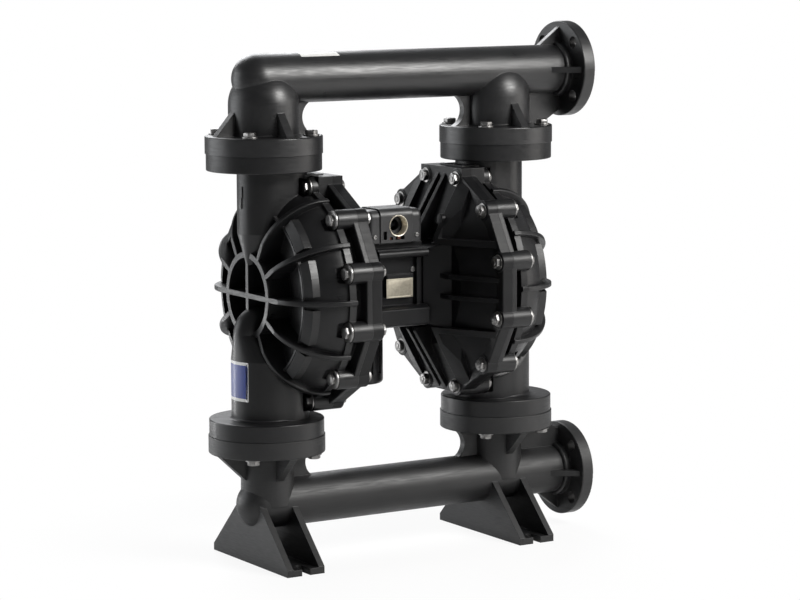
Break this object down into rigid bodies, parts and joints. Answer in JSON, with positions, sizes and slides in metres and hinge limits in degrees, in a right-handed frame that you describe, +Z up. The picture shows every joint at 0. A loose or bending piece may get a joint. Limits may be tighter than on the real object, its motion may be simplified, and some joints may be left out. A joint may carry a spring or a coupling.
{
  "type": "air operated diaphragm pump",
  "caption": "Air operated double diaphragm pump: ribbed black plastic chambers between a flanged outlet manifold above and a flanged inlet manifold on feet below.",
  "frame": {"origin": "on the floor in the middle of the four foot slots, below the middle of the diaphragm shaft", "axes": "+Z up; X along both manifolds with their open flanges facing +X; the compressed air inlet faces -Y"},
  "size_m": [0.6525, 0.3604, 0.8222],
  "materials": {
    "wet_side_plastic": "black moulded conductive polypropylene, satin",
    "air_side_plastic": "black moulded polypropylene, satin",
    "valve_plastic": "dark grey-black moulded valve body",
    "muffler_plastic": "black moulded muffler",
    "stainless_fasteners": "stainless steel",
    "ground_steel": "ground stainless steel",
    "spool_aluminium": "machined aluminium",
    "brass": "machined brass",
    "diaphragm_rubber": "moulded elastomer",
    "ball_rubber": "tan elastomer",
    "seal_rubber": "black rubber",
    "seat_plastic": "natural moulded plastic",
    "plate_plastic": "black moulded plastic",
    "bearing_plastic": "natural bearing plastic"
  },
  "bodies": {
    "pump_casing": {"air_cover_screws": "stainless_fasteners", "air_inlet_sleeve": "brass", "air_valve_body": "valve_plastic", "air_valve_gasket": "seal_rubber", "air_valve_left_cap": "valve_plastic", "air_valve_right_cap": "valve_plastic", "center_housing": "air_side_plastic", "exhaust_muffler": "muffler_plastic", "inlet_joint_bolts": "stainless_fasteners", "inlet_joint_inserts": "brass", "inlet_manifold": "wet_side_plastic", "inlet_seats": "seat_plastic", "left_air_cover": "air_side_plastic", "left_cover_bolts": "stainless_fasteners", "left_cover_nuts": "stainless_fasteners", "left_diaphragm": "diaphragm_rubber", "left_fluid_cover": "wet_side_plastic", "left_pilot_bush": "bearing_plastic", "left_shaft_bush": "bearing_plastic", "left_shaft_seal": "seal_rubber", "outlet_joint_bolts": "stainless_fasteners", "outlet_joint_inserts": "brass", "outlet_manifold": "wet_side_plastic", "outlet_seats": "seat_plastic", "right_air_cover": "air_side_plastic", "right_cover_bolts": "stainless_fasteners", "right_cover_nuts": "stainless_fasteners", "right_diaphragm": "diaphragm_rubber", "right_fluid_cover": "wet_side_plastic", "right_pilot_bush": "bearing_plastic", "right_shaft_bush": "bearing_plastic", "right_shaft_seal": "seal_rubber"},
    "diaphragm_train": {"diaphragm_shaft": "ground_steel", "left_fluid_plate": "plate_plastic", "right_fluid_plate": "plate_plastic", "left_air_plate": "ground_steel", "right_air_plate": "ground_steel"},
    "left_pilot_pin": {"left_pilot_pin": "ground_steel"},
    "right_pilot_pin": {"right_pilot_pin": "ground_steel"},
    "air_valve_spool": {"air_valve_spool": "spool_aluminium"},
    "left_inlet_ball": {"left_inlet_ball": "ball_rubber"},
    "left_outlet_ball": {"left_outlet_ball": "ball_rubber"},
    "right_inlet_ball": {"right_inlet_ball": "ball_rubber"},
    "right_outlet_ball": {"right_outlet_ball": "ball_rubber"}
  },
  "joints": [
    {"name": "shaft_stroke", "type": "slide", "parent": "pump_casing", "child": "diaphragm_train", "axis": [1, 0, 0], "range_m": [-0.018, 0.018], "deforming": ["left_diaphragm", "right_diaphragm"]},
    {"name": "left_pin_push", "type": "slide", "parent": "pump_casing", "child": "left_pilot_pin", "axis": [1, 0, 0], "range_m": [-0.0055, 0.0055]},
    {"name": "right_pin_push", "type": "slide", "parent": "pump_casing", "child": "right_pilot_pin", "axis": [1, 0, 0], "range_m": [-0.0055, 0.0055]},
    {"name": "air_valve_shift", "type": "slide", "parent": "pump_casing", "child": "air_valve_spool", "axis": [1, 0, 0], "range_m": [0, 0.008]},
    {"name": "left_inlet_ball_lift", "type": "slide", "parent": "pump_casing", "child": "left_inlet_ball", "axis": [0, 0, 1], "range_m": [0, 0.015]},
    {"name": "left_outlet_ball_lift", "type": "slide", "parent": "pump_casing", "child": "left_outlet_ball", "axis": [0, 0, 1], "range_m": [0, 0.015]},
    {"name": "right_inlet_ball_lift", "type": "slide", "parent": "pump_casing", "child": "right_inlet_ball", "axis": [0, 0, 1], "range_m": [0, 0.015]},
    {"name": "right_outlet_ball_lift", "type": "slide", "parent": "pump_casing", "child": "right_outlet_ball", "axis": [0, 0, 1], "range_m": [0, 0.015]}
  ],
  "couplings": [
    {"joint": "left_pin_push", "follows": "shaft_stroke", "ratio": 0.3},
    {"joint": "right_pin_push", "follows": "shaft_stroke", "ratio": 0.3}
  ]
}
